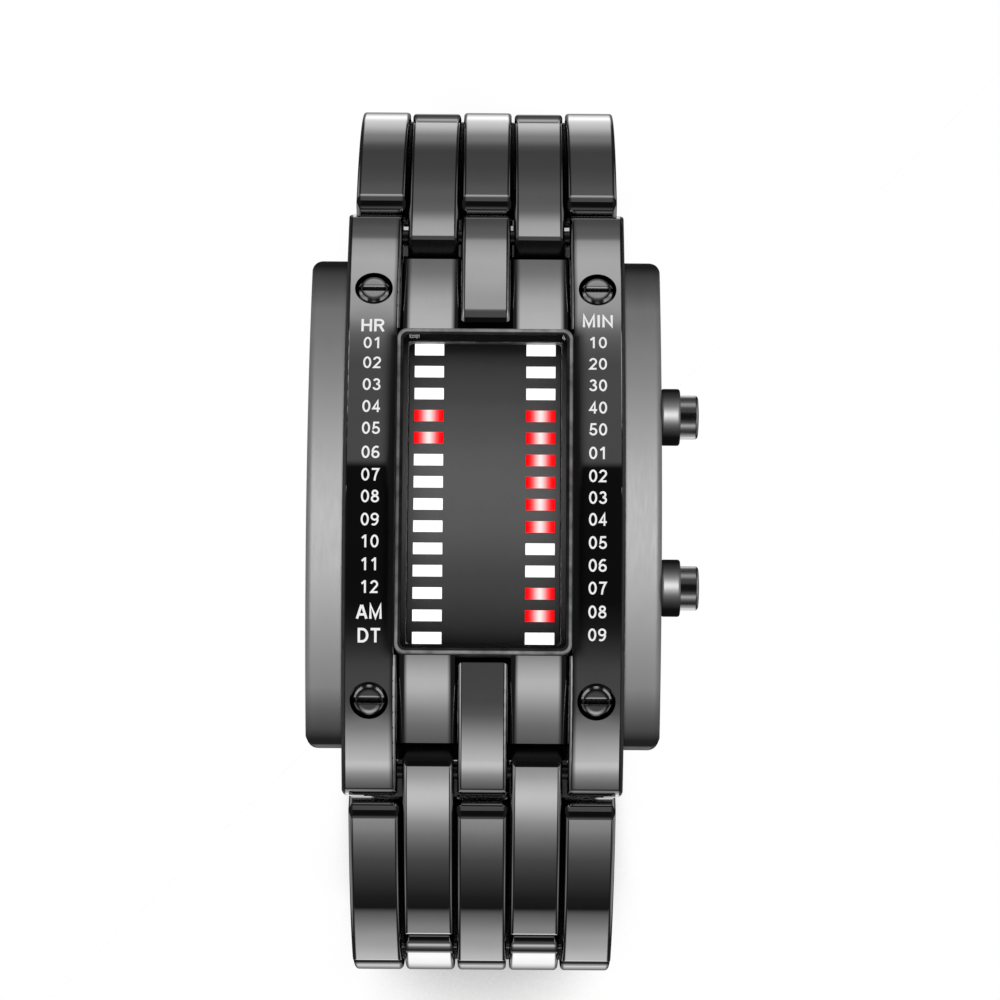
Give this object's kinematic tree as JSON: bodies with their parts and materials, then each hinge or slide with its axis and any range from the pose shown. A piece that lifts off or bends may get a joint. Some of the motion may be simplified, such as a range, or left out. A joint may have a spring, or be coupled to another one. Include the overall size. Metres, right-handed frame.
{
  "type": "led watch",
  "caption": "Arched rectangular wristwatch with two columns of lamps, side pushers, a jointed bracelet and a three-fold clasp, closed and standing face up.",
  "frame": {"origin": "middle of the flat outer face of the clasp's cover, on which the closed watch stands", "axes": "+Z out of the watch's face, +Y to twelve o'clock, +X to three o'clock, the side with the pushers"},
  "size_m": [0.0397, 0.0928, 0.0603],
  "materials": {
    "case_metal": "steel with a polished dark grey plating",
    "bar_metal": "polished dark grey plating, soft gradients",
    "rim_metal": "polished lighter grey plating",
    "crystal_glass": "smoked mineral glass",
    "seal_rubber": "black rubber",
    "mask_black": "black mask with lamp windows",
    "lamp_lens": "white lamp faces, red with a white heart when lit",
    "board_green": "circuit board with solder mask",
    "chip_black": "moulded chip package",
    "module_plastic": "moulded module frame",
    "cell_steel": "nickel-plated cell cans",
    "contact_brass": "gilt spring brass",
    "back_steel": "satin stainless steel",
    "screw_steel": "turned heads with a single slot, dark plating",
    "pin_steel": "ground stainless pins",
    "pusher_metal": "turned and polished, dark plating",
    "link_metal": "polished dark grey plating",
    "clasp_metal": "satin dark grey plating",
    "blade_steel": "satin stainless blades"
  },
  "bodies": {
    "case": {"case_body": "case_metal", "letter_bar_left": "bar_metal", "letter_bar_right": "bar_metal", "centre_bar_top": "bar_metal", "centre_bar_bottom": "bar_metal", "inner_plates_top": "bar_metal", "inner_plates_bottom": "bar_metal", "window_frame": "rim_metal", "crystal": "crystal_glass", "crystal_gasket": "seal_rubber", "display_mask": "mask_black", "hour_lamps": "lamp_lens", "minute_lamps": "lamp_lens", "lamp_board": "board_green", "driver_chip": "chip_black", "module_frame": "module_plastic", "coin_cells": "cell_steel", "battery_strap": "contact_brass", "pusher_contacts": "contact_brass", "case_back": "back_steel", "back_gasket": "seal_rubber", "back_screws": "screw_steel", "face_screws": "screw_steel", "case_spring_bars": "pin_steel", "pusher_tubes": "pusher_metal", "pusher_springs": "pin_steel", "pusher_seals": "seal_rubber"},
    "pusher_upper": {"pusher_upper": "pusher_metal", "pusher_clip_upper": "pin_steel"},
    "pusher_lower": {"pusher_lower": "pusher_metal", "pusher_clip_lower": "pin_steel"},
    "link_12_1": {"link_12_1_outer": "link_metal", "link_12_1_inner": "link_metal", "link_12_1_pins": "pin_steel"},
    "link_12_2": {"link_12_2_outer": "link_metal", "link_12_2_inner": "link_metal", "link_12_2_pins": "pin_steel"},
    "link_12_3": {"link_12_3_outer": "link_metal", "link_12_3_inner": "link_metal", "link_12_3_pins": "pin_steel"},
    "link_6_1": {"link_6_1_outer": "link_metal", "link_6_1_inner": "link_metal", "link_6_1_pins": "pin_steel"},
    "link_6_2": {"link_6_2_outer": "link_metal", "link_6_2_inner": "link_metal", "link_6_2_pins": "pin_steel"},
    "link_6_3": {"link_6_3_outer": "link_metal", "link_6_3_inner": "link_metal", "link_6_3_pins": "pin_steel"},
    "clasp": {"clasp_cover": "clasp_metal", "clasp_hinge_pins": "pin_steel", "clasp_stud": "pin_steel"},
    "outer_blade": {"clasp_blade_1": "blade_steel", "clasp_fold_pin": "pin_steel"},
    "inner_blade": {"clasp_blade_2": "blade_steel", "clasp_spring_bar": "pin_steel"}
  },
  "joints": [
    {"name": "case_hinge_12", "type": "hinge", "parent": "case", "child": "link_12_1", "pos_m": [0, 0.0277, 0.05096], "axis": [1, 0, 0], "range_deg": [0, 47]},
    {"name": "link_hinge_12_1", "type": "hinge", "parent": "link_12_1", "child": "link_12_2", "pos_m": [0, 0.0438, 0.0337], "axis": [1, 0, 0], "range_deg": [0, 50]},
    {"name": "link_hinge_12_2", "type": "hinge", "parent": "link_12_2", "child": "link_12_3", "pos_m": [0, 0.04092, 0.01027], "axis": [1, 0, 0], "range_deg": [0, 63]},
    {"name": "clasp_hinge_12", "type": "hinge", "parent": "link_12_3", "child": "clasp", "pos_m": [0, 0.01874, 0.0022], "axis": [1, 0, 0], "range_deg": [0, 20]},
    {"name": "case_hinge_6", "type": "hinge", "parent": "case", "child": "link_6_1", "pos_m": [0, -0.0277, 0.05096], "axis": [-1, 0, 0], "range_deg": [0, 47]},
    {"name": "link_hinge_6_1", "type": "hinge", "parent": "link_6_1", "child": "link_6_2", "pos_m": [0, -0.0438, 0.0337], "axis": [-1, 0, 0], "range_deg": [0, 50]},
    {"name": "link_hinge_6_2", "type": "hinge", "parent": "link_6_2", "child": "link_6_3", "pos_m": [0, -0.04092, 0.01027], "axis": [-1, 0, 0], "range_deg": [0, 63]},
    {"name": "clasp_unfold_outer", "type": "hinge", "parent": "clasp", "child": "outer_blade", "pos_m": [0, -0.01344, 0.0026], "axis": [1, 0, 0], "range_deg": [0, 170]},
    {"name": "clasp_unfold_inner", "type": "hinge", "parent": "outer_blade", "child": "inner_blade", "pos_m": [0, 0.01304, 0.0026], "axis": [-1, 0, 0], "range_deg": [0, 170]},
    {"name": "pusher_upper_press", "type": "slide", "parent": "case", "child": "pusher_upper", "axis": [-1, 0, 0], "range_m": [0, 0.0007], "stiffness_N_per_m": 1500, "springref_m": -0.0004},
    {"name": "pusher_lower_press", "type": "slide", "parent": "case", "child": "pusher_lower", "axis": [-1, 0, 0], "range_m": [0, 0.0007], "stiffness_N_per_m": 1500, "springref_m": -0.0004}
  ],
  "couplings": [
    {"joint": "link_hinge_6_1", "follows": "case_hinge_6", "ratio": 1.0638},
    {"joint": "link_hinge_6_2", "follows": "case_hinge_6", "ratio": 1.3404},
    {"joint": "clasp_unfold_outer", "follows": "case_hinge_6", "ratio": 3.617},
    {"joint": "clasp_unfold_inner", "follows": "case_hinge_6", "ratio": 3.617}
  ]
}
